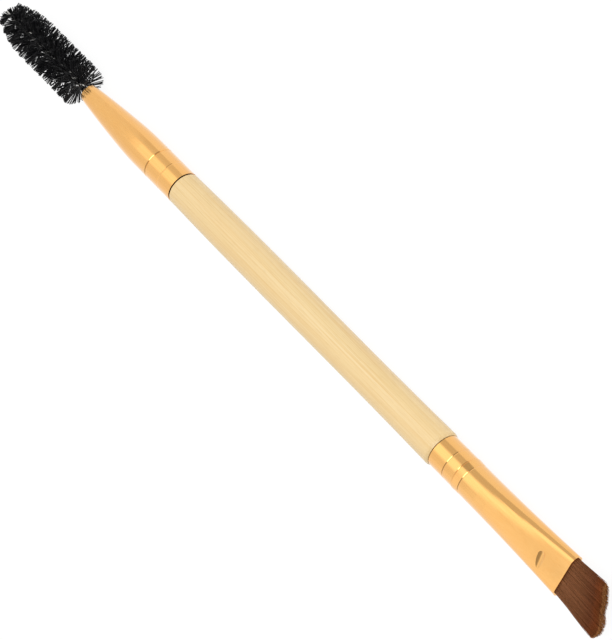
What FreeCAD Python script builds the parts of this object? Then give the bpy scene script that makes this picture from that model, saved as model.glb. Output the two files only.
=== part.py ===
import FreeCAD, Part
import math
import os

# A double-ended eyebrow brush, lying along X with its slanted hair head towards +X.
# Every piece is made about the X axis and lifted at the end, so that the lowest bristle
# touches Z = 0. The broad faces of the pressed ferrule look up and down.

# Lengths along the brush, as seen from outside
SPIRAL_LENGTH = 26.2
CONE_FERRULE_LENGTH = 29.1
HANDLE_LENGTH = 72.3
PRESSED_FERRULE_LENGTH = 31.4
HAIR_LENGTH = 10.3

# Bamboo handle: the diameter swells slowly, waists a little, then swells to the shoulder
HANDLE_START_DIA = 6.3
HANDLE_MIDDLE_DIA = 6.6
HANDLE_WAIST_DIA = 6.56
HANDLE_GRIP_DIA = 6.76
HANDLE_MIDDLE_SHARE = 0.55
HANDLE_WAIST_SHARE = 0.82
SHOULDER_LENGTH = 1.0
SHOULDER_STEP = 0.04
START_CHAMFER = 0.15
TENON_CHAMFER = 0.5

# Aluminium ferrules
TUBE_DIA = 6.32
WALL = 0.3
CONE_MOUTH_DIA = 3.4
CONE_LENGTH = 16.3
CONE_SWELL = 0.12
SHOULDER_SHARE = 0.14
FERRULE_FIT = 0.02
SEAT_GAP = 0.15

# Crimps, placed by their distance from the end of the bamboo that shows
DEEP_RING_AT = 7.2
FAINT_RING_AT = 3.5
FINE_RING_AT = 3.6
BEAD_AT = 6.0
BEAD_LENGTH = 1.6
BEAD_HEIGHT = 0.09
RING_WIDTH = 0.3
DEEP_RING_DEPTH = 0.08
FAINT_RING_DEPTH = 0.03
FINE_RING_DEPTH = 0.065
TENON_PAST_CRIMP = 1.2

# Pressed mouth: two flats joined by half rounds
PRESS_AT = 9.2
FLAT_WIDTH = 5.4
MOUTH_THICKNESS = 2.65
PRESS_CURVE = 1.6
PRESS_STATIONS = 10

# Small dent across the upper broad face, which grips the hair
DENT_FROM_MOUTH = 4.7
DENT_OFFSET = -0.7
DENT_REACH = 2.5
DENT_TURN = 8.0
DENT_RADIUS = 1.1
DENT_DEPTH = 0.22

# Twisted wire of the spiral brush
WIRE_DIA = 0.6
TWIST_PITCH = 4.12
TWIST_PHASE = -23.0
WIRE_ROOT = 7.0
WIRE_SIDES = 8
PINCH_CLEARANCE = 0.02

# Nylon filaments, each pinched at its middle between the legs of the wire
FILAMENT_DIA = 0.17
FILAMENT_SPACING = 0.15
BRISTLE_RADIUS = 4.25
TIP_BRISTLE_RADIUS = 2.6
MOUTH_BRISTLE_RADIUS = 3.3
TIP_TAPER_LENGTH = 8.0
TIP_LEAN = 6.0
MOUTH_LEAN = 26.0
LEAN_LENGTH = 1.5
BRISTLE_CLEARANCE = 0.1

# Epoxy plugs
PLUG_FROM_CONE_MOUTH = 0.8
PLUG_PAST_WIRE = 0.8
HAIR_PLUG_LENGTH = 3.0

# Head of synthetic hair
HAIR_ROOT = 11.0
HAIR_FIT = 0.05
HAIR_FLARE_WIDTH = 9.0
HAIR_TIP_THICKNESS = 1.7
HAIR_FLARE_SHIFT = -0.35
SHORT_SIDE_LENGTH = 6.8
CUT_ANGLE = 28.5
CREST_OFFSET = -2.9
CORNER_DROP = 1.1
HAIR_GROOVES = 25
HAIR_GROOVE_DEPTH = 0.16

# Places along X that follow from the lengths
TOTAL_LENGTH = (SPIRAL_LENGTH + CONE_FERRULE_LENGTH + HANDLE_LENGTH
                + PRESSED_FERRULE_LENGTH + HAIR_LENGTH)
SPIRAL_TIP = -TOTAL_LENGTH / 2
CONE_MOUTH = SPIRAL_TIP + SPIRAL_LENGTH
HANDLE_START = CONE_MOUTH + CONE_FERRULE_LENGTH
HANDLE_END = HANDLE_START + HANDLE_LENGTH
FLAT_MOUTH = HANDLE_END + PRESSED_FERRULE_LENGTH
HAIR_TIP = FLAT_MOUTH + HAIR_LENGTH
PRESS_START = HANDLE_END + PRESS_AT

X_AXIS = FreeCAD.Vector(1, 0, 0)
ORIGIN = FreeCAD.Vector(0, 0, 0)


def at(x, radius):
    """A point of a turned profile."""
    return FreeCAD.Vector(x, 0, radius)


def line(a, b):
    return Part.LineSegment(a, b).toShape()


def chain(points):
    """Straight edges through the points, in order."""
    return [line(a, b) for a, b in zip(points, points[1:])]


def turned(edges):
    """The solid made by turning a closed profile about the X axis."""
    face = Part.Face(Part.Wire(edges))
    return face.revolve(ORIGIN, X_AXIS, 360)


def stretch(low, high):
    """A block that holds everything between two places along X."""
    side = 4 * TUBE_DIA
    return Part.makeBox(high - low, side, side, FreeCAD.Vector(low, -side / 2, -side / 2))


def ring_groove(x, depth, radius):
    """Profile points of a V-shaped ring pressed into a tube, along +X."""
    half = RING_WIDTH / 2
    return [at(x - half, radius), at(x, radius - depth), at(x + half, radius)]


def cone_ferrule_crimps(inset):
    """The two rings of the tapered ferrule, for its outside or a surface inset from it."""
    radius = TUBE_DIA / 2 - inset
    points = ring_groove(HANDLE_START - DEEP_RING_AT, DEEP_RING_DEPTH, radius)
    points += ring_groove(HANDLE_START - FAINT_RING_AT, FAINT_RING_DEPTH, radius)
    return points


def pressed_ferrule_crimps(inset):
    """The fine ring, then the bead between two more, with its crest towards the handle."""
    radius = TUBE_DIA / 2 - inset
    points = ring_groove(HANDLE_END + FINE_RING_AT, FINE_RING_DEPTH, radius)
    bead = HANDLE_END + BEAD_AT
    points += ring_groove(bead, FAINT_RING_DEPTH, radius)[:2]
    points.append(at(bead + RING_WIDTH / 2, radius + BEAD_HEIGHT))
    points += ring_groove(bead + BEAD_LENGTH, FINE_RING_DEPTH, radius)
    return points


def handle():
    """Bamboo stick turned in one piece, with a crimped tenon at each end."""
    tenon_inset = WALL + FERRULE_FIT
    tenon = TUBE_DIA / 2 - tenon_inset
    left = HANDLE_START - DEEP_RING_AT - TENON_PAST_CRIMP
    right = HANDLE_END + BEAD_AT + BEAD_LENGTH + TENON_PAST_CRIMP
    start = HANDLE_START_DIA / 2
    grip = HANDLE_GRIP_DIA / 2
    shoulder = HANDLE_END - SHOULDER_LENGTH
    rim = TUBE_DIA / 2 + SHOULDER_STEP

    edges = chain([at(left, 0), at(left, tenon - TENON_CHAMFER), at(left + TENON_CHAMFER, tenon)]
                  + cone_ferrule_crimps(tenon_inset)
                  + [at(HANDLE_START, tenon), at(HANDLE_START, start - START_CHAMFER),
                     at(HANDLE_START + START_CHAMFER, start)])
    swell = Part.BSplineCurve()
    swell.interpolate([
        at(HANDLE_START + START_CHAMFER, start),
        at(HANDLE_START + HANDLE_MIDDLE_SHARE * HANDLE_LENGTH, HANDLE_MIDDLE_DIA / 2),
        at(HANDLE_START + HANDLE_WAIST_SHARE * HANDLE_LENGTH, HANDLE_WAIST_DIA / 2),
        at(shoulder, grip)])
    edges.append(swell.toShape())
    drop = grip - rim
    bulge = at(shoulder + SHOULDER_LENGTH * math.sin(math.radians(45)),
               rim + drop * math.cos(math.radians(45)))
    edges.append(Part.Arc(at(shoulder, grip), bulge, at(HANDLE_END, rim)).toShape())
    edges += chain([at(HANDLE_END, rim), at(HANDLE_END, tenon)]
                   + pressed_ferrule_crimps(tenon_inset)
                   + [at(right - TENON_CHAMFER, tenon), at(right, tenon - TENON_CHAMFER),
                      at(right, 0), at(left, 0)])
    return turned(edges)


def cone_side(inset):
    """The slightly swollen taper, from the narrow mouth to the full tube."""
    mouth = CONE_MOUTH_DIA / 2 - inset
    full = TUBE_DIA / 2 - inset
    # The lip is half round, so the taper starts half a wall in from the mouth
    a = at(CONE_MOUTH + WALL / 2, mouth)
    b = at(CONE_MOUTH + CONE_LENGTH, full)
    middle = at((a.x + b.x) / 2, (a.z + b.z) / 2 + CONE_SWELL)
    return a, middle, b


def soft_shoulder(a, middle, b):
    """The taper's side, which bends softly into the straight tube. Gives its lines and its end."""
    side = Part.Arc(a, middle, b)
    length = side.LastParameter - side.FirstParameter
    leave = side.LastParameter - length * SHOULDER_SHARE
    start = side.value(leave)
    slope = side.tangent(leave)[0]
    corner = start + slope * ((b.z - start.z) / slope.z)
    end = at(2 * corner.x - start.x, b.z)
    bend = Part.BezierCurve()
    bend.setPoles([start, corner, end])
    taper = Part.Arc(a, side.value((side.FirstParameter + leave) / 2), start)
    return [taper.toShape(), bend.toShape()], end


def spoolie_ferrule():
    """Drawn aluminium tube, tapered to a narrow mouth, rolled and crimped on its tenon."""
    a, middle, b = cone_side(0)
    c, inner_middle, d = cone_side(WALL)
    taper, b = soft_shoulder(a, middle, b)
    bore, d = soft_shoulder(c, inner_middle, d)
    lip = Part.Arc(c, at(CONE_MOUTH, (a.z + c.z) / 2), a).toShape()
    seat = HANDLE_START - SEAT_GAP
    outside = chain([b] + cone_ferrule_crimps(0) + [at(seat, b.z)])
    inside = chain([d] + cone_ferrule_crimps(WALL) + [at(seat, d.z)])
    end = line(at(seat, b.z), at(seat, d.z))
    return turned([lip] + taper + outside + [end] + inside[::-1] + bore[::-1])


def spoolie_glue():
    """Epoxy plug in the taper, around the root of the wire."""
    a, middle, b = cone_side(WALL + FERRULE_FIT)
    bore = WIRE_DIA + FILAMENT_DIA / 2 + PINCH_CLEARANCE + FERRULE_FIT
    wire_end = CONE_MOUTH + WIRE_ROOT
    plug_end = wire_end + PLUG_PAST_WIRE
    start = CONE_MOUTH + PLUG_FROM_CONE_MOUTH
    taper = turned([Part.Arc(a, middle, b).toShape()]
                   + chain([b, at(b.x, 0), at(a.x, 0), a]))
    ring = turned(chain([at(start, 0), at(start, TUBE_DIA), at(plug_end, TUBE_DIA),
                         at(plug_end, 0), at(start, 0)]))
    wire_room = turned(chain([at(start, 0), at(start, bore), at(wire_end, bore),
                              at(wire_end, 0), at(start, 0)]))
    return taper.common(ring).cut(wire_room)


def pressed_share(x):
    """How far the tube is pressed at x, from 0, round, to 1, the flat mouth."""
    return ((x - PRESS_START) / (FLAT_MOUTH - PRESS_START)) ** PRESS_CURVE


def pressed_face(pressed):
    """Half the thickness of the tube where it is pressed that far."""
    return (TUBE_DIA + pressed * (MOUTH_THICKNESS - TUBE_DIA)) / 2


def pressed_section(x, inset):
    """Section of the pressed tube at x, or of a surface inset from it.

    The arc over the flat keeps about its length while it opens, and the two side arcs
    tighten, each running smoothly into the next."""
    pressed = pressed_share(x)
    round_angle = FLAT_WIDTH / TUBE_DIA
    half_angle = round_angle * (1 - pressed)
    round_corner = TUBE_DIA / 2 * math.sin(round_angle)
    corner_y = round_corner + pressed * (FLAT_WIDTH / 2 - round_corner)
    face = pressed_face(pressed)
    corner_z = face - corner_y * math.tan(half_angle / 2)
    side = corner_y + corner_z * math.tan((math.pi / 2 - half_angle) / 2) - inset
    corner_y -= inset * math.sin(half_angle)
    corner_z -= inset * math.cos(half_angle)
    face -= inset
    corners = [FreeCAD.Vector(x, y, z) for y, z in ((corner_y, corner_z), (-corner_y, corner_z),
                                                    (-corner_y, -corner_z), (corner_y, -corner_z))]
    left = Part.Arc(corners[1], FreeCAD.Vector(x, -side, 0), corners[2]).toShape()
    right = Part.Arc(corners[3], FreeCAD.Vector(x, side, 0), corners[0]).toShape()
    if pressed == 1:
        top = line(corners[0], corners[1])
        bottom = line(corners[2], corners[3])
    else:
        top = Part.Arc(corners[0], at(x, face), corners[1]).toShape()
        bottom = Part.Arc(corners[2], at(x, -face), corners[3]).toShape()
    return Part.Wire([top, left, bottom, right])


def pressed_solid(inset):
    """The round-to-flat stretch of the tube, or of what fills it, as a solid."""
    step = (FLAT_MOUTH - PRESS_START) / PRESS_STATIONS
    places = [PRESS_START + k * step for k in range(PRESS_STATIONS)] + [FLAT_MOUTH]
    return Part.makeLoft([pressed_section(x, inset) for x in places], True, True)


def dent(growth):
    """The tool that leaves the dent: a bar with round ends, across the upper face."""
    x = FLAT_MOUTH - DENT_FROM_MOUTH
    radius = DENT_RADIUS + growth
    middle = FreeCAD.Vector(x, DENT_OFFSET, pressed_face(pressed_share(x)) - DENT_DEPTH + DENT_RADIUS)
    turn = math.radians(DENT_TURN)
    across = FreeCAD.Vector(-math.sin(turn), math.cos(turn), 0)
    low = middle - across * (DENT_REACH / 2)
    high = middle + across * (DENT_REACH / 2)
    bar = Part.makeCylinder(radius, DENT_REACH, low, across)
    return bar.fuse([Part.makeSphere(radius, low), Part.makeSphere(radius, high)])


def brush_ferrule():
    """Aluminium tube, crimped on the bamboo and pressed flat over the hair."""
    def body(inset):
        radius = TUBE_DIA / 2 - inset
        seat = HANDLE_END + SEAT_GAP
        profile = ([at(seat, 0), at(seat, radius)] + pressed_ferrule_crimps(inset)
                   + [at(PRESS_START, radius), at(PRESS_START, 0), at(seat, 0)])
        return turned(chain(profile)).fuse(pressed_solid(inset))
    outside = body(0).cut(dent(0))
    inside = body(WALL).cut(dent(WALL))
    return outside.cut(inside)


def strand_centre():
    """Distance from the axis to the middle of each leg of the wire."""
    return WIRE_DIA / 2 + FILAMENT_DIA / 2 + PINCH_CLEARANCE


def first_filament():
    return wire_start() + WIRE_DIA / 2


def last_filament():
    """The last filament leans back over the ferrule and just clears its lip."""
    lean = math.radians(MOUTH_LEAN)
    side = CONE_MOUTH_DIA / 2 + FILAMENT_DIA + BRISTLE_CLEARANCE
    return CONE_MOUTH - side * math.tan(lean)


def wire_start():
    """Where the twist begins, behind the hairpin bend, whose outside is the brush's tip."""
    return SPIRAL_TIP + strand_centre() + WIRE_DIA / 2


def wire_section(centre, direction):
    """Section of the wire, square to its direction. Flats stand in for its round."""
    ring = Part.makeCircle(WIRE_DIA / 2, centre, direction)
    return Part.makePolygon(ring.discretize(WIRE_SIDES + 1))


def left_handed(shape):
    """The real wire is twisted to the left: a right-hand twist, mirrored across the brush."""
    return shape.mirror(ORIGIN, FreeCAD.Vector(0, 1, 0))


def spoolie_wire():
    """One steel wire, bent to a hairpin at the tip and twisted."""
    radius = strand_centre()
    start = wire_start()
    cut_end = CONE_MOUTH + WIRE_ROOT
    helix = Part.Wire(Part.makeHelix(TWIST_PITCH, cut_end + WIRE_DIA - start, radius))
    climb = math.atan2(2 * math.pi * radius, TWIST_PITCH)
    forward = math.cos(climb)
    sideways = math.sin(climb)
    section = wire_section(FreeCAD.Vector(radius, 0, 0), FreeCAD.Vector(0, sideways, forward))
    legs = []
    for turn in (0, 180):
        leg = helix.makePipeShell([section], True, True)
        leg.rotate(ORIGIN, FreeCAD.Vector(0, 0, 1), turn)
        leg.rotate(ORIGIN, FreeCAD.Vector(0, 1, 0), 90)
        leg.translate(FreeCAD.Vector(start, 0, 0))
        legs.append(leg)
    # The hairpin joins the legs: both leave it with the same sideways lean
    low = FreeCAD.Vector(start, 0, -radius)
    leaving = FreeCAD.Vector(-forward, -sideways, 0)
    bend = Part.BSplineCurve()
    bend.interpolate(Points=[low, FreeCAD.Vector(start - radius, 0, 0),
                             FreeCAD.Vector(start, 0, radius)],
                     InitialTangent=leaving,
                     FinalTangent=FreeCAD.Vector(forward, -sideways, 0))
    hairpin = Part.Wire(bend.toShape()).makePipeShell([wire_section(low, leaving)], True, True)
    wire = legs[0].fuse([legs[1], hairpin]).common(stretch(SPIRAL_TIP, cut_end))
    wire.rotate(ORIGIN, X_AXIS, TWIST_PHASE)
    return left_handed(wire)


def bristle(x, turn, length, lean):
    """One half of a filament, from the wire out to its cut end."""
    half = FILAMENT_DIA / 2
    rod = Part.makeBox(FILAMENT_DIA, FILAMENT_DIA, length, FreeCAD.Vector(-half, -half, 0))
    rod.rotate(ORIGIN, FreeCAD.Vector(0, 1, 0), lean)
    rod.rotate(ORIGIN, X_AXIS, turn)
    rod.translate(FreeCAD.Vector(x, 0, 0))
    return rod


def spoolie_bristles():
    """Filaments in a double spiral, packed side by side where the wire pinches them."""
    first = first_filament()
    last = last_filament()
    count = int((last - first) / FILAMENT_SPACING)
    rods = []
    for k in range(count + 1):
        x = first + k * FILAMENT_SPACING
        from_tip = (x - first) / TIP_TAPER_LENGTH
        fullness = math.sin(math.radians(90 * min(1, from_tip)))
        length = TIP_BRISTLE_RADIUS + (BRISTLE_RADIUS - TIP_BRISTLE_RADIUS) * fullness
        by_the_mouth = max(0, 1 - (last - x) / LEAN_LENGTH)
        length -= (BRISTLE_RADIUS - MOUTH_BRISTLE_RADIUS) * by_the_mouth
        lean = -TIP_LEAN * max(0, 1 - (x - first) / LEAN_LENGTH)
        lean += MOUTH_LEAN * by_the_mouth
        # A filament lies square to the line that joins the two legs of the wire there
        turn = 90 + TWIST_PHASE + 360 * (x - wire_start()) / TWIST_PITCH
        rods += [bristle(x, turn + side, length, lean) for side in (0, 180)]
    return left_handed(rods[0].multiFuse(rods[1:]).removeSplitter())


def hair_solid(inset):
    """Root and flared head of the hair before it is cut to its slant."""
    root = pressed_solid(inset)
    x = FLAT_MOUTH
    half_flat = FLAT_WIDTH / 2
    mouth_radius = MOUTH_THICKNESS / 2 - inset
    tip_radius = HAIR_TIP_THICKNESS / 2
    tip_flat = HAIR_FLARE_WIDTH / 2 - tip_radius

    def stadium(x, half, radius, shift):
        a = FreeCAD.Vector(x, shift + half, radius)
        b = FreeCAD.Vector(x, shift - half, radius)
        c = FreeCAD.Vector(x, shift - half, -radius)
        d = FreeCAD.Vector(x, shift + half, -radius)
        left = Part.Arc(b, FreeCAD.Vector(x, shift - half - radius, 0), c).toShape()
        right = Part.Arc(d, FreeCAD.Vector(x, shift + half + radius, 0), a).toShape()
        return Part.Wire([line(a, b), left, line(c, d), right])
    head = Part.makeLoft([stadium(x, half_flat, mouth_radius, 0),
                          stadium(HAIR_TIP, tip_flat, tip_radius, HAIR_FLARE_SHIFT)], True, True)
    return root.fuse(head)


def slant():
    """Everything on the handle's side of the slanted, round-cornered cut."""
    slope = math.tan(math.radians(CUT_ANGLE))
    reach = HAIR_FLARE_WIDTH
    short = HAIR_FLARE_WIDTH / 2 + HAIR_FLARE_SHIFT
    crest = FreeCAD.Vector(HAIR_TIP, CREST_OFFSET, 0)
    knee_y = CREST_OFFSET + CORNER_DROP
    knee = FreeCAD.Vector(FLAT_MOUTH + SHORT_SIDE_LENGTH + (short - knee_y) * slope, knee_y, 0)
    start = FreeCAD.Vector(FLAT_MOUTH + SHORT_SIDE_LENGTH - (reach - short) * slope, reach, 0)
    long_y = HAIR_FLARE_SHIFT - HAIR_FLARE_WIDTH / 2
    corner = FreeCAD.Vector(HAIR_TIP - CORNER_DROP, long_y, 0)
    behind = FLAT_MOUTH - 2 * HAIR_ROOT
    rim = Part.BSplineCurve()
    rim.interpolate([knee, crest, corner])
    outline = [line(start, knee), rim.toShape()]
    outline += chain([corner, FreeCAD.Vector(corner.x, -reach, 0),
                      FreeCAD.Vector(behind, -reach, 0), FreeCAD.Vector(behind, reach, 0), start])
    face = Part.Face(Part.Wire(outline))
    face.translate(FreeCAD.Vector(0, 0, -TUBE_DIA))
    return face.extrude(FreeCAD.Vector(0, 0, 2 * TUBE_DIA))


def hair_root_end():
    return FLAT_MOUTH - HAIR_ROOT


def brow_tuft():
    """Synthetic hair bound flat, with the parting lines between its locks."""
    hair = hair_solid(WALL + HAIR_FIT)
    hair = hair.common(stretch(hair_root_end(), HAIR_TIP)).common(slant())
    hair = hair.cut(dent(WALL + HAIR_FIT))
    partings = []
    start = FLAT_MOUTH + HAIR_GROOVE_DEPTH
    mouth_face = MOUTH_THICKNESS / 2 - WALL - HAIR_FIT
    tip_face = HAIR_TIP_THICKNESS / 2
    overrun = HAIR_TIP + 1
    for k in range(HAIR_GROOVES):
        share = (k + 0.5) / HAIR_GROOVES - 0.5
        y0 = share * FLAT_WIDTH
        y1 = HAIR_FLARE_SHIFT + share * (HAIR_FLARE_WIDTH - HAIR_TIP_THICKNESS)
        for side in (1, -1):
            wires = []
            for x, y, face, half in ((start, y0, mouth_face, HAIR_GROOVE_DEPTH / 2),
                                     (overrun, y1, tip_face, HAIR_GROOVE_DEPTH)):
                top = side * (face + HAIR_GROOVE_DEPTH)
                floor = side * (face - HAIR_GROOVE_DEPTH)
                points = [FreeCAD.Vector(x, y - 2 * half, top), FreeCAD.Vector(x, y, floor),
                          FreeCAD.Vector(x, y + 2 * half, top),
                          FreeCAD.Vector(x, y - 2 * half, top)]
                wires.append(Part.Wire(chain(points)))
            partings.append(Part.makeLoft(wires, True, True))
    return hair.cut(partings)


def tuft_glue():
    """Epoxy plug that binds the roots of the hair."""
    end = hair_root_end()
    return pressed_solid(WALL + HAIR_FIT).common(stretch(end - HAIR_PLUG_LENGTH, end))


def main():
    os.makedirs("parts", exist_ok=True)
    pieces = {
        "handle": handle(),
        "spoolie_ferrule": spoolie_ferrule(),
        "brush_ferrule": brush_ferrule(),
        "spoolie_wire": spoolie_wire(),
        "spoolie_bristles": spoolie_bristles(),
        "spoolie_glue": spoolie_glue(),
        "brow_tuft": brow_tuft(),
        "tuft_glue": tuft_glue(),
    }
    lift = -min(shape.BoundBox.ZMin for shape in pieces.values())
    for name, shape in pieces.items():
        shape.translate(FreeCAD.Vector(0, 0, lift))
        shape.exportStep("parts/" + name + ".step")
        print(name, len(shape.Solids), round(shape.Volume, 3), shape.isValid())


main()
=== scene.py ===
import math
import random

import bmesh
import bpy
from mathutils import Matrix, Vector


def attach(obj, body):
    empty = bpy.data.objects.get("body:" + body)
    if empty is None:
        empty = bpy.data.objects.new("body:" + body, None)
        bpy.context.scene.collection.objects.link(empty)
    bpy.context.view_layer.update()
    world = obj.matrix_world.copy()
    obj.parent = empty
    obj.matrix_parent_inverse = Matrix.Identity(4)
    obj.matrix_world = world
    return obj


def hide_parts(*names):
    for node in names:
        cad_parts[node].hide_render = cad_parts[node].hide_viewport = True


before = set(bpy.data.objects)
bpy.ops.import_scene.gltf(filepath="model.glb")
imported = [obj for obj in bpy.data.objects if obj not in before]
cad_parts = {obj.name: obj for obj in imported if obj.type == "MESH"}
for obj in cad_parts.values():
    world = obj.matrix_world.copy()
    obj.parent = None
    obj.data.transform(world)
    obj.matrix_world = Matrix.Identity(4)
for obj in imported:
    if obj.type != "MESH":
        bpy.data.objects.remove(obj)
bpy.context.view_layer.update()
MM = 0.001

# Handle
# One stick of bamboo, turned to a slow swell and sanded, its two tenons crimped in the ferrules.
# Its fibres run the whole length. A thin satin lacquer gives it a soft shine.

BRUSH_AXIS_Z = 4.2506 * MM
TENON_RADIUS = 2.95 * MM
# How far beyond the tenon's radius the painted shade in the joint gaps fades out
GAP_SHADE_EDGE = 0.05 * MM
# How often each pattern repeats in a metre, along the brush and across it
FIBRE_SCALE = (45, 4000, 4000)
PORE_SCALE = (350, 8000, 8000)
WARM_BAND_SCALE = (14, 260, 260)


def linear(colour):
    """An sRGB hex colour as the linear values that Blender works in."""
    channels = [int(colour[k:k + 2], 16) / 255 for k in (1, 3, 5)]
    return [c / 12.92 if c <= 0.04045 else ((c + 0.055) / 1.055) ** 2.4 for c in channels] + [1]


def add_node(material, kind, settings=None, links=None):
    """Adds a node to a material or world, with its settings and what feeds its sockets."""
    tree = material.node_tree
    node = tree.nodes.new(kind)
    for name, value in (settings or {}).items():
        if name == "ramp":
            stops = node.color_ramp.elements
            while len(stops) < len(value):
                stops.new(0.5)
            for stop, (position, colour) in zip(stops, value):
                stop.position = position
                stop.color = colour
        elif isinstance(name, str) and name in node.bl_rna.properties:
            setattr(node, name, value)
        else:
            node.inputs[name].default_value = value
    for name, source in (links or {}).items():
        tree.links.new(source, node.inputs[name])
    return node


def new_finish(name):
    """A new material, still without nodes."""
    material = bpy.data.materials.new(name)
    material.use_nodes = True
    material.node_tree.nodes.clear()
    return material


def wear_finish(node, material):
    """Gives a CAD node its finish, in the slots that it came with."""
    for slot in node.material_slots:
        slot.material = material


# Lacquered bamboo: pale straw, with fibre bundles 0.25 mm wide that run for 20 mm or more,
# darker pores, which are dashes 0.12 mm wide and 3 mm long, and warmer bands 4 mm wide.
bamboo = new_finish("lacquered_bamboo")
place = add_node(bamboo, "ShaderNodeTexCoord").outputs["Object"]
fibre_place = add_node(bamboo, "ShaderNodeMapping", {"Scale": FIBRE_SCALE}, {"Vector": place})
fibres = add_node(bamboo, "ShaderNodeTexNoise", {"Scale": 1.0, "Detail": 3.0, "Roughness": 0.6},
                  {"Vector": fibre_place.outputs[0]})
tone = add_node(bamboo, "ShaderNodeValToRGB", {"ramp": [
    (0.30, linear("#E8C484")), (0.48, linear("#EFD095")), (0.70, linear("#F4D9A4"))]},
    {"Fac": fibres.outputs["Fac"]})
pore_place = add_node(bamboo, "ShaderNodeMapping", {"Scale": PORE_SCALE}, {"Vector": place})
pores = add_node(bamboo, "ShaderNodeTexNoise", {"Scale": 1.0, "Detail": 1.0},
                 {"Vector": pore_place.outputs[0]})
pore_share = add_node(bamboo, "ShaderNodeMapRange",
                      {"From Min": 0.60, "From Max": 0.72, "To Max": 0.22},
                      {"Value": pores.outputs["Fac"]})
speckled = add_node(bamboo, "ShaderNodeMix", {"data_type": "RGBA", "B": linear("#C79F63")},
                    {"A": tone.outputs["Color"], "Factor": pore_share.outputs[0]})
band_place = add_node(bamboo, "ShaderNodeMapping", {"Scale": WARM_BAND_SCALE}, {"Vector": place})
bands = add_node(bamboo, "ShaderNodeTexNoise", {"Scale": 1.0, "Detail": 2.0},
                 {"Vector": band_place.outputs[0]})
warmth = add_node(bamboo, "ShaderNodeMapRange", {"From Min": 0.35, "From Max": 0.7, "To Max": 0.5},
                  {"Value": bands.outputs["Fac"]})
banded = add_node(bamboo, "ShaderNodeMix", {"data_type": "RGBA", "B": linear("#EFC788")},
                  {"A": speckled.outputs["Result"], "Factor": warmth.outputs[0]})
# Painted shade: the tenons are coloured near black, which shows as a thin dark line of shade in
# the gap at each joint
from_axis = add_node(bamboo, "ShaderNodeVectorMath",
                     {"operation": "MULTIPLY_ADD", 1: (0, 1, 1), 2: (0, 0, -BRUSH_AXIS_Z)},
                     {0: place})
radius = add_node(bamboo, "ShaderNodeVectorMath", {"operation": "LENGTH"},
                  {0: from_axis.outputs[0]})
on_tenon = add_node(bamboo, "ShaderNodeMapRange",
                    {"From Min": TENON_RADIUS + GAP_SHADE_EDGE, "From Max": TENON_RADIUS},
                    {"Value": radius.outputs["Value"]})
painted_gap_shade = add_node(bamboo, "ShaderNodeMix", {"data_type": "RGBA", "B": linear("#2A1A0C")},
                 {"A": banded.outputs["Result"], "Factor": on_tenon.outputs[0]})
grain_height = add_node(bamboo, "ShaderNodeBump", {"Strength": 0.25, "Distance": 0.04 * MM},
                        {"Height": fibres.outputs["Fac"]})
lacquer = add_node(bamboo, "ShaderNodeBsdfPrincipled", {
    "Roughness": 0.5, "IOR": 1.5, "Coat Weight": 0.5, "Coat Roughness": 0.2, "Coat IOR": 1.5},
    {"Base Color": painted_gap_shade.outputs["Result"], "Normal": grain_height.outputs[0]})
add_node(bamboo, "ShaderNodeOutputMaterial", {}, {"Surface": lacquer.outputs[0]})
wear_finish(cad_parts["handle"], bamboo)

# Ferrules
# Two drawn aluminium tubes, rolled onto the tenons with crimp rings. One is tapered, the other is
# pressed flat at its mouth. Both are anodised a bright rose gold.

DRAWN_SCALE = (60, 6500, 6500)

# Anodised aluminium: a coloured metal with a soft gloss. Drawing leaves faint lines along the
# tube, about 0.15 mm apart.
gold = new_finish("rose_gold_anodised_aluminium")
place = add_node(gold, "ShaderNodeTexCoord").outputs["Object"]
drawn_place = add_node(gold, "ShaderNodeMapping", {"Scale": DRAWN_SCALE}, {"Vector": place})
drawn = add_node(gold, "ShaderNodeTexNoise", {"Scale": 1.0, "Detail": 2.0},
                 {"Vector": drawn_place.outputs[0]})
gloss = add_node(gold, "ShaderNodeMapRange", {"To Min": 0.12, "To Max": 0.18},
                 {"Value": drawn.outputs["Fac"]})
dye = add_node(gold, "ShaderNodeValToRGB", {"ramp": [
    (0.3, linear("#F2B462")), (0.7, linear("#F6BC6C"))]}, {"Fac": drawn.outputs["Fac"]})
drawn_height = add_node(gold, "ShaderNodeBump", {"Strength": 0.1, "Distance": 0.01 * MM},
                        {"Height": drawn.outputs["Fac"]})
anodised = add_node(gold, "ShaderNodeBsdfPrincipled", {
    "Metallic": 1.0, "Coat Weight": 0.8, "Coat Roughness": 0.1, "Coat IOR": 1.5},
    {"Base Color": dye.outputs["Color"], "Roughness": gloss.outputs[0],
     "Normal": drawn_height.outputs[0]})
add_node(gold, "ShaderNodeOutputMaterial", {}, {"Surface": anodised.outputs[0]})
wear_finish(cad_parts["spoolie_ferrule"], gold)
wear_finish(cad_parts["brush_ferrule"], gold)

# Epoxy plugs
# Clear epoxy, set hard around the roots of the wire and of the hair, deep in the ferrules.
# It is yellowish and slightly cloudy.

CLOUD_SCALE = 1000

# Set epoxy: honey coloured and glossy, with cloudy patches about 1 mm across.
epoxy = new_finish("set_epoxy")
place = add_node(epoxy, "ShaderNodeTexCoord").outputs["Object"]
cloud = add_node(epoxy, "ShaderNodeTexNoise", {"Scale": CLOUD_SCALE, "Detail": 2.0},
                 {"Vector": place})
honey = add_node(epoxy, "ShaderNodeValToRGB", {"ramp": [
    (0.3, linear("#C9B07A")), (0.7, linear("#E0CC98"))]}, {"Fac": cloud.outputs["Fac"]})
set_epoxy = add_node(epoxy, "ShaderNodeBsdfPrincipled", {"Roughness": 0.25, "IOR": 1.55},
                     {"Base Color": honey.outputs["Color"]})
add_node(epoxy, "ShaderNodeOutputMaterial", {}, {"Surface": set_epoxy.outputs[0]})
wear_finish(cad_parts["spoolie_glue"], epoxy)
wear_finish(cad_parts["tuft_glue"], epoxy)

# Twisted wire
# One steel wire, bent to a hairpin at the tip and twisted, which pinches the filaments between
# its two legs. Its cut ends are set in epoxy in the tapered ferrule.

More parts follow.
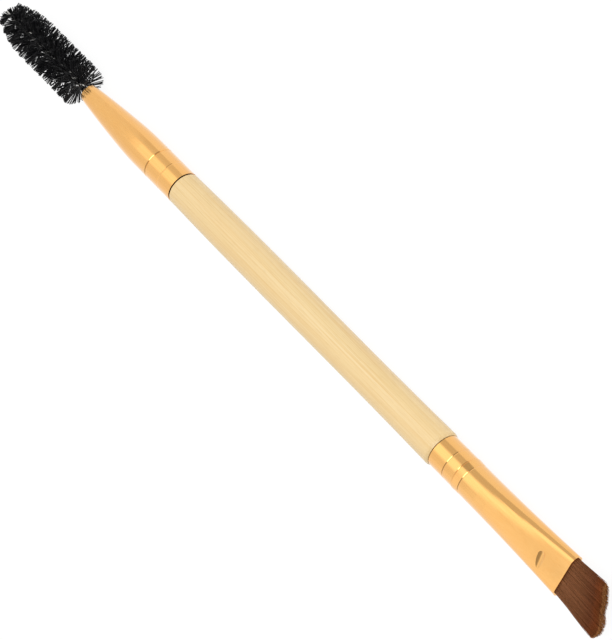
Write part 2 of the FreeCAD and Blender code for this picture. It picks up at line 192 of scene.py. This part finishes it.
WIRE_THICKNESS = 0.6 * MM
WIRE_SIDES = 12
LEG_RADIUS = 0.405 * MM
TWIST_PITCH = 4.12 * MM
TWIST_START = -83.94 * MM
WIRE_END = -51.5 * MM
TWIST_PHASE = math.radians(23)
STEPS_PER_TURN = 24
HAIRPIN_STEPS = 8
DRAWN_PATCH_SCALE = 3000


def strand_mesh(name, paths, thickness, sides):
    """Round strands along the paths, each a list of (place, share of the thickness)."""
    curve = bpy.data.curves.new(name, "CURVE")
    curve.dimensions = "3D"
    curve.bevel_depth = thickness / 2
    # A round bevel has four sides, and two more for each step of its resolution
    curve.bevel_resolution = (sides - 4) // 2
    curve.use_fill_caps = True
    for path in paths:
        spline = curve.splines.new("POLY")
        spline.points.add(len(path) - 1)
        for point, (spot, share) in zip(spline.points, path):
            point.co = (spot.x, spot.y, spot.z, 1)
            point.radius = share
    line = bpy.data.objects.new(name + "_line", curve)
    bpy.context.scene.collection.objects.link(line)
    graph = bpy.context.evaluated_depsgraph_get()
    mesh = bpy.data.meshes.new_from_object(line.evaluated_get(graph))
    bpy.data.objects.remove(line)
    mesh.name = name
    mesh.materials.clear()
    piece = bpy.data.objects.new(name, mesh)
    bpy.context.scene.collection.objects.link(piece)
    return piece


def around_axis(x, angle, radius):
    """The place that far from the brush's axis. Angle 0 is straight up."""
    return Vector((x, -radius * math.sin(angle), BRUSH_AXIS_Z + radius * math.cos(angle)))


def twist_angle(x):
    """Which way the wire's two legs lie apart there. The twist is left-handed."""
    return TWIST_PHASE - 2 * math.pi * (x - TWIST_START) / TWIST_PITCH


steps = int((WIRE_END - TWIST_START) / TWIST_PITCH * STEPS_PER_TURN)
stations = [TWIST_START + (WIRE_END - TWIST_START) * k / steps for k in range(steps + 1)]
legs = [[(around_axis(x, twist_angle(x) + half_turn, LEG_RADIUS), 1.0) for x in stations]
        for half_turn in (0, math.pi)]
hairpin = []
for k in range(1, HAIRPIN_STEPS):
    swing = math.pi * k / HAIRPIN_STEPS
    x = TWIST_START - LEG_RADIUS * math.sin(swing)
    hairpin.append((around_axis(x, TWIST_PHASE, LEG_RADIUS * math.cos(swing)), 1.0))
whole_wire = legs[1][::-1] + hairpin[::-1] + legs[0]
wire = strand_mesh("twisted_wire", [whole_wire], WIRE_THICKNESS, WIRE_SIDES)

# Drawn steel wire: bright, with duller patches about 0.3 mm long.
steel = new_finish("drawn_steel_wire")
place = add_node(steel, "ShaderNodeTexCoord").outputs["Object"]
patches = add_node(steel, "ShaderNodeTexNoise", {"Scale": DRAWN_PATCH_SCALE, "Detail": 2.0},
                   {"Vector": place})
wire_gloss = add_node(steel, "ShaderNodeMapRange", {"To Min": 0.15, "To Max": 0.25},
                      {"Value": patches.outputs["Fac"]})
wire_tone = add_node(steel, "ShaderNodeValToRGB", {"ramp": [
    (0.3, linear("#A5A39F")), (0.7, linear("#C6C4BF"))]}, {"Fac": patches.outputs["Fac"]})
bright_steel = add_node(steel, "ShaderNodeBsdfPrincipled", {"Metallic": 1.0},
                        {"Base Color": wire_tone.outputs["Color"],
                         "Roughness": wire_gloss.outputs[0]})
add_node(steel, "ShaderNodeOutputMaterial", {}, {"Surface": bright_steel.outputs[0]})
wire.data.materials.append(steel)
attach(wire, "root")
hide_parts("spoolie_wire")

# Spiral bristles
# Black nylon filaments, laid side by side in the wire before it is twisted, which fans them out
# in a double spiral. They are sheared to a round brush with a blunt taper at its tip.

FILAMENT_THICKNESS = 0.14 * MM
FILAMENT_SIDES = 6
FILAMENT_SPACING = 0.026 * MM
FIRST_FILAMENT = -83.50 * MM
LAST_FILAMENT = -59.35 * MM
# Length of a filament on each side of the wire: in the middle, at the tip and at the ferrule
BRISTLE_LENGTH = 4.32 * MM
TIP_LENGTH = 2.65 * MM
MOUTH_LENGTH = 3.4 * MM
SHEARED_SHORT = 0.95
TIP_TAPER = 8.0 * MM
# Beside the ferrule the filaments lean back over it, in this length, up to this many degrees
LEAN_LENGTH = 0.85 * MM
MOUTH_LEAN = 22
# Filaments that cling together as a bunch, and how far in degrees a bunch and a filament stray
BUNCH = 9
BUNCH_TURN = 3
BUNCH_LEAN = 2
FILAMENT_TURN = 3
FILAMENT_LEAN = 2
LOOSE_LEAN = 3
# How far a filament's end bends along the brush, in metres, and round it, in radians
FILAMENT_BOW = 0.10 * MM
FILAMENT_SWAY = 0.05
# Where along a filament its bend has a point, from the wire to the end
FILAMENT_STATIONS = (0.25, 0.6, 0.85, 1.0)
# The gap left under those that point down, and the least slope that this cut reckons with
TABLE_CLEARANCE = 0.1 * MM
LEAST_SLOPE = 0.1
BATCH_SCALE = 2500

chance = random.Random(7)
filaments = []
for k in range(int((LAST_FILAMENT - FIRST_FILAMENT) / FILAMENT_SPACING) + 1):
    x = FIRST_FILAMENT + k * FILAMENT_SPACING
    if k % BUNCH == 0:
        bunch_turn = [chance.gauss(0, BUNCH_TURN) for side in (0, 1)]
        bunch_lean = [chance.gauss(0, BUNCH_LEAN) for side in (0, 1)]
    fullness = math.sin(math.radians(90 * min(1, (x - FIRST_FILAMENT) / TIP_TAPER)))
    by_the_mouth = max(0, 1 - (LAST_FILAMENT - x) / LEAN_LENGTH)
    # Towards the ferrule every second filament is missing
    if by_the_mouth > 0 and k % 2:
        continue
    length = TIP_LENGTH + (BRISTLE_LENGTH - TIP_LENGTH) * fullness
    length -= (BRISTLE_LENGTH - MOUTH_LENGTH) * by_the_mouth
    lean = MOUTH_LEAN * by_the_mouth
    stray = FILAMENT_LEAN + LOOSE_LEAN * by_the_mouth
    halves = []
    for side in (0, 1):
        angle = twist_angle(x) + math.pi * (side + 0.5)
        angle += math.radians(bunch_turn[side] + chance.gauss(0, FILAMENT_TURN))
        tilt = math.radians(lean + bunch_lean[side] + chance.gauss(0, stray))
        bow = chance.gauss(0, FILAMENT_BOW)
        sway = chance.gauss(0, FILAMENT_SWAY)
        # Those that point down stop just above the table
        down = max(LEAST_SLOPE, -math.cos(angle))
        reach = min(length * chance.uniform(SHEARED_SHORT, 1.0),
                    (BRUSH_AXIS_Z - TABLE_CLEARANCE) / down)
        half = []
        for share in FILAMENT_STATIONS:
            spot = around_axis(x + reach * share * math.sin(tilt) + bow * share * share,
                               angle + sway * share * share, reach * share * math.cos(tilt))
            half.append((spot, 1.0))
        halves.append(half)
    middle = [(around_axis(x, 0, 0), 1.0)]
    filaments.append(halves[0][::-1] + middle + halves[1])
bristles = strand_mesh("nylon_filaments", filaments, FILAMENT_THICKNESS, FILAMENT_SIDES)

# Black nylon: near black with a slight sheen, a little paler in patches about 0.4 mm across.
nylon = new_finish("black_nylon_filament")
place = add_node(nylon, "ShaderNodeTexCoord").outputs["Object"]
batch = add_node(nylon, "ShaderNodeTexNoise", {"Scale": BATCH_SCALE, "Detail": 1.0},
                 {"Vector": place})
black = add_node(nylon, "ShaderNodeValToRGB", {"ramp": [
    (0.3, linear("#09090B")), (0.75, linear("#16161A"))]}, {"Fac": batch.outputs["Fac"]})
sheen = add_node(nylon, "ShaderNodeBsdfPrincipled",
                 {"Roughness": 0.4, "IOR": 1.5, "Specular IOR Level": 0.28},
                 {"Base Color": black.outputs["Color"]})
add_node(nylon, "ShaderNodeOutputMaterial", {}, {"Surface": sheen.outputs[0]})
bristles.data.materials.append(nylon)
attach(bristles, "root")
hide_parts("spoolie_bristles")

# Slanted tuft
# Synthetic hair, gathered flat, cut on a slant and bound with epoxy. Each hair is tapered at its
# tip. The pressed ferrule holds the tuft, and from its mouth the hair fans out a little.

HAIRS = 2300
HAIR_THICKNESS = 0.1 * MM
HAIR_SIDES = 4
HAIR_MOUTH = 74.35 * MM
HAIR_ROOT_END = 63.4 * MM
# The mouth is an oblong with round ends: half its straight stretch, and half its depth
MOUTH_FLAT = 2.7 * MM
MOUTH_DEPTH = 0.94 * MM
# How the width and depth of the tuft change from the mouth to the tips, and down to the roots
TIP_SPREAD = 1.22
TIP_DEPTH = 0.82
TIP_SHIFT = -0.42 * MM
ROOT_SPREAD = 0.80
ROOT_DEPTH = 1.9
THROAT = 1.0 * MM
THROAT_SPREAD = 0.99
# How far single hairs stray across the head, through it, short of the cut and along their bend
STRAY_ACROSS = 0.10 * MM
STRAY_THROUGH = 0.05 * MM
STRAY_SHORT = 0.22 * MM
HAIR_WAVE = 0.03 * MM
# Stations from the mouth to the tip, with the share of its thickness that a hair has there
HAIR_TAPER = [(0.25, 1.0), (0.55, 1.0), (0.85, 0.75), (1.0, 0.25)]
# Length of the hair past the mouth, by its place across the head, both in mm
CUT_LINE = [(-4.9, 9.25), (-4.5, 9.7), (-4.2, 9.85), (-3.6, 10.1), (-2.9, 10.15),
            (-2.2, 10.0), (-1.45, 9.75), (-0.73, 9.2), (0.0, 8.75), (1.37, 8.3),
            (2.73, 7.5), (4.1, 6.55), (4.6, 6.2)]
LOCK_SCALE = (60, 7000, 7000)
# In the colour: how much of the head's width the cut is drawn on, and its highest level, in mm
CUT_WIDTH = 10
CUT_LEVEL = 12
TINT_LENGTH = 10 * MM


def hair_length(y):
    """How far past the mouth the cut lies, at that place across the tips."""
    y = max(CUT_LINE[0][0], min(CUT_LINE[-1][0], y / MM))
    for (y0, long0), (y1, long1) in zip(CUT_LINE, CUT_LINE[1:]):
        if y <= y1:
            return (long0 + (long1 - long0) * (y - y0) / (y1 - y0)) * MM


def grey(level):
    """A linear grey."""
    return (level, level, level, 1)


chance = random.Random(11)
hairs = []
while len(hairs) < HAIRS:
    y = chance.uniform(-1, 1) * (MOUTH_FLAT + MOUTH_DEPTH)
    z = chance.uniform(-1, 1) * MOUTH_DEPTH
    past_flat = max(0, abs(y) - MOUTH_FLAT)
    if math.hypot(past_flat, z) > MOUTH_DEPTH:
        continue
    tip_y = y * TIP_SPREAD + TIP_SHIFT + chance.gauss(0, STRAY_ACROSS)
    tip_z = z * TIP_DEPTH + chance.gauss(0, STRAY_THROUGH)
    reach = hair_length(tip_y) - abs(chance.gauss(0, STRAY_SHORT))
    wave = chance.gauss(0, HAIR_WAVE)
    path = [(Vector((HAIR_ROOT_END, y * ROOT_SPREAD, BRUSH_AXIS_Z + z * ROOT_DEPTH)), 1.0),
            (Vector((HAIR_MOUTH - THROAT, y * THROAT_SPREAD, BRUSH_AXIS_Z + z)), 1.0)]
    for share, thickness in HAIR_TAPER:
        lift = z + (tip_z - z) * share + wave * math.sin(math.pi * share)
        path.append((Vector((HAIR_MOUTH + reach * share, y + (tip_y - y) * share,
                             BRUSH_AXIS_Z + lift)), thickness))
    hairs.append(path)
tuft = strand_mesh("slanted_hair", hairs, HAIR_THICKNESS, HAIR_SIDES)

# Synthetic hair: dark brown with a soft gloss, redder in its last 2 mm, with golden tips.
# Streaks 0.14 mm wide, about a hair's thickness, differ a little in tone.
hair = new_finish("brown_synthetic_hair")
place = add_node(hair, "ShaderNodeTexCoord").outputs["Object"]
lock_place = add_node(hair, "ShaderNodeMapping", {"Scale": LOCK_SCALE}, {"Vector": place})
locks = add_node(hair, "ShaderNodeTexNoise", {"Scale": 1.0, "Detail": 1.0},
                 {"Vector": lock_place.outputs[0]})
lock_tone = add_node(hair, "ShaderNodeValToRGB", {"ramp": [(0.3, grey(0.88)), (0.7, grey(1.07))]},
                     {"Fac": locks.outputs["Fac"]})
spread = add_node(hair, "ShaderNodeSeparateXYZ", {}, {"Vector": place})
across = add_node(hair, "ShaderNodeMapRange",
                  {"From Min": -CUT_WIDTH / 2 * MM, "From Max": CUT_WIDTH / 2 * MM},
                  {"Value": spread.outputs["Y"]})
cut = add_node(hair, "ShaderNodeValToRGB", {"ramp": [
    (y / CUT_WIDTH + 0.5, grey(long / CUT_LEVEL)) for y, long in CUT_LINE]},
    {"Fac": across.outputs[0]})
cut_place = add_node(hair, "ShaderNodeMath",
                     {"operation": "MULTIPLY_ADD", 1: CUT_LEVEL * MM, 2: HAIR_MOUTH},
                     {0: cut.outputs["Color"]})
to_cut = add_node(hair, "ShaderNodeMath", {"operation": "SUBTRACT"},
                  {0: cut_place.outputs[0], 1: spread.outputs["X"]})
way_to_tip = add_node(hair, "ShaderNodeMapRange", {"From Min": TINT_LENGTH, "From Max": 0.0},
                      {"Value": to_cut.outputs[0]})
brown = add_node(hair, "ShaderNodeValToRGB", {"ramp": [
    (0.10, linear("#885633")), (0.50, linear("#7B4A28")), (0.76, linear("#6E3B1B")),
    (0.88, linear("#7C3D12")), (0.955, linear("#824820")), (0.985, linear("#B87C46"))]},
    {"Fac": way_to_tip.outputs[0]})
strand_tone = add_node(hair, "ShaderNodeMix",
                       {"data_type": "RGBA", "blend_type": "MULTIPLY", "Factor": 1.0},
                       {"A": brown.outputs["Color"], "B": lock_tone.outputs["Color"]})
hair_gloss = add_node(hair, "ShaderNodeBsdfPrincipled",
                      {"Roughness": 0.6, "IOR": 1.53, "Specular IOR Level": 0.2},
                      {"Base Color": strand_tone.outputs["Result"]})
add_node(hair, "ShaderNodeOutputMaterial", {}, {"Surface": hair_gloss.outputs[0]})
tuft.data.materials.append(hair)
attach(tuft, "root")
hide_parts("brow_tuft")

# Table
# A plain white board under the brush, which keeps the brush's soft shadow. It is a stage, and
# no part of the object.

FLOOR_REACH = 1.5
SEEN_SHARE = 0.86
SEEN_WHITE = 1.06

floor_mesh = bpy.data.meshes.new("table")
table_shape = bmesh.new()
bmesh.ops.create_grid(table_shape, x_segments=1, y_segments=1, size=FLOOR_REACH)
table_shape.to_mesh(floor_mesh)
table_shape.free()
table = bpy.data.objects.new("table", floor_mesh)
bpy.context.scene.collection.objects.link(table)

# Matt white board: to the camera and in reflections most of it is plain white, and the rest is
# real diffuse white, which carries the shadow.
board = new_finish("matt_white_board")
rays = add_node(board, "ShaderNodeLightPath")
straight = add_node(board, "ShaderNodeMath", {"operation": "MAXIMUM"},
                    {0: rays.outputs["Is Camera Ray"], 1: rays.outputs["Is Glossy Ray"]})
seen = add_node(board, "ShaderNodeMath", {"operation": "MAXIMUM"},
                {0: straight.outputs[0], 1: rays.outputs["Is Transmission Ray"]})
seen_share = add_node(board, "ShaderNodeMath", {"operation": "MULTIPLY", 1: SEEN_SHARE},
                      {0: seen.outputs[0]})
paper = add_node(board, "ShaderNodeBsdfDiffuse", {"Color": linear("#F2F2F2")})
white = add_node(board, "ShaderNodeEmission", {"Strength": SEEN_WHITE})
board_mix = add_node(board, "ShaderNodeMixShader", {}, {
    "Fac": seen_share.outputs[0], 1: paper.outputs[0], 2: white.outputs[0]})
add_node(board, "ShaderNodeOutputMaterial", {}, {"Surface": board_mix.outputs[0]})
table.data.materials.append(board)

# Studio
# A white tent beyond the spiral brush, bands of light that arch over the handle, and a dim end
# beyond the slanted head. The metal shows these as bands along its tubes.

STRIP_STRENGTH = 1.3
TENT_WHITE = 0.95
DIM_END = 0.42
# Where each starts and is full, by how far a direction points along the brush
INTO_ROOM = (-0.42, -0.34)
INTO_DIM_END = (-0.37, 0.25)
OUT_OF_TENT = (-0.67, -0.50)

studio = bpy.data.worlds.new("studio")
bpy.context.scene.world = studio
studio.use_nodes = True
studio.node_tree.nodes.clear()
towards = add_node(studio, "ShaderNodeTexCoord").outputs["Generated"]
parts = add_node(studio, "ShaderNodeSeparateXYZ", {}, {"Vector": towards})
swing_round = add_node(studio, "ShaderNodeMath", {"operation": "ARCTAN2"},
                       {0: parts.outputs["Z"], 1: parts.outputs["Y"]})
# From 0 to 1 is half a turn about the brush, from the +Y horizon over the top to the -Y horizon
arch = add_node(studio, "ShaderNodeMapRange", {"From Min": 0.0, "From Max": math.pi},
                {"Value": swing_round.outputs[0]})
strips = add_node(studio, "ShaderNodeValToRGB", {"ramp": [
    (0.10, grey(0.56)), (0.20, grey(0.58)), (0.27, grey(1.15)), (0.48, grey(1.15)),
    (0.58, grey(0.74)), (0.76, grey(0.74)), (0.82, grey(0.80))]}, {"Fac": arch.outputs[0]})
strip_light = add_node(studio, "ShaderNodeMath", {"operation": "MULTIPLY", 1: STRIP_STRENGTH},
                       {0: strips.outputs["Color"]})
room = add_node(studio, "ShaderNodeValToRGB", {"ramp": [
    (0.10, grey(0.52)), (0.22, grey(0.48)), (0.28, grey(1.45)), (0.37, grey(1.45)),
    (0.50, grey(1.09)), (0.66, grey(1.15)), (0.90, grey(1.12))]}, {"Fac": arch.outputs[0]})
into_room, into_dim_end, out_of_tent = [
    add_node(studio, "ShaderNodeMapRange",
             {"From Min": start, "From Max": full, "interpolation_type": "SMOOTHSTEP"},
             {"Value": parts.outputs["X"]}).outputs[0]
    for start, full in (INTO_ROOM, INTO_DIM_END, OUT_OF_TENT)]
overhead = add_node(studio, "ShaderNodeMix", {"data_type": "RGBA"},
                    {"A": strip_light.outputs[0], "B": room.outputs["Color"],
                     "Factor": into_room})
dim_end = add_node(studio, "ShaderNodeMix", {"data_type": "RGBA", "B": grey(DIM_END)},
                   {"A": overhead.outputs["Result"], "Factor": into_dim_end})
surroundings = add_node(studio, "ShaderNodeMix", {"data_type": "RGBA", "A": grey(TENT_WHITE)},
                        {"B": dim_end.outputs["Result"], "Factor": out_of_tent})
rays = add_node(studio, "ShaderNodeLightPath")
backdrop = add_node(studio, "ShaderNodeMix", {"data_type": "RGBA", "B": grey(1.0)},
                    {"A": surroundings.outputs["Result"], "Factor": rays.outputs["Is Camera Ray"]})
sky = add_node(studio, "ShaderNodeBackground", {}, {"Color": backdrop.outputs["Result"]})
add_node(studio, "ShaderNodeOutputWorld", {}, {"Surface": sky.outputs[0]})

# One softbox, above the brush and on the camera's side
LAMP_TOWARDS = Vector((0.30, 0.42, 0.86)).normalized()
LAMP_DISTANCE = 0.6
LAMP_SIZE = 0.40
LAMP_WATTS = 1.4
softbox = bpy.data.lights.new("softbox", "AREA")
softbox.shape = "SQUARE"
softbox.size = LAMP_SIZE
softbox.energy = LAMP_WATTS
lamp = bpy.data.objects.new("softbox", softbox)
lamp.location = LAMP_TOWARDS * LAMP_DISTANCE
lamp.rotation_euler = LAMP_TOWARDS.to_track_quat("Z", "Y").to_euler()
bpy.context.scene.collection.objects.link(lamp)

# Camera
# It stands half a metre away and looks down on the brush, which crosses the frame from corner to
# corner.

VIEWER_PLACE = Vector((0.27304, 0.2317, 0.39175))
VIEWER_BACK = Vector((0.5074, 0.4437, 0.7386)).normalized()
FRAME_RIGHT = Vector((0.6058, 0.4258, -0.6720))
SENSOR_WIDTH = 36
LENS = 174.4

viewer_data = bpy.data.cameras.new("viewer")
viewer_data.sensor_width = SENSOR_WIDTH
viewer_data.lens = LENS
viewer_data.clip_start = 0.02
viewer = bpy.data.objects.new("viewer", viewer_data)
right = (FRAME_RIGHT - VIEWER_BACK * FRAME_RIGHT.dot(VIEWER_BACK)).normalized()
up = VIEWER_BACK.cross(right)
turned = Matrix((right, up, VIEWER_BACK)).transposed().to_4x4()
viewer.matrix_world = Matrix.Translation(VIEWER_PLACE) @ turned
bpy.context.scene.collection.objects.link(viewer)
bpy.context.scene.camera = viewer
bpy.context.scene.view_settings.view_transform = "Standard"
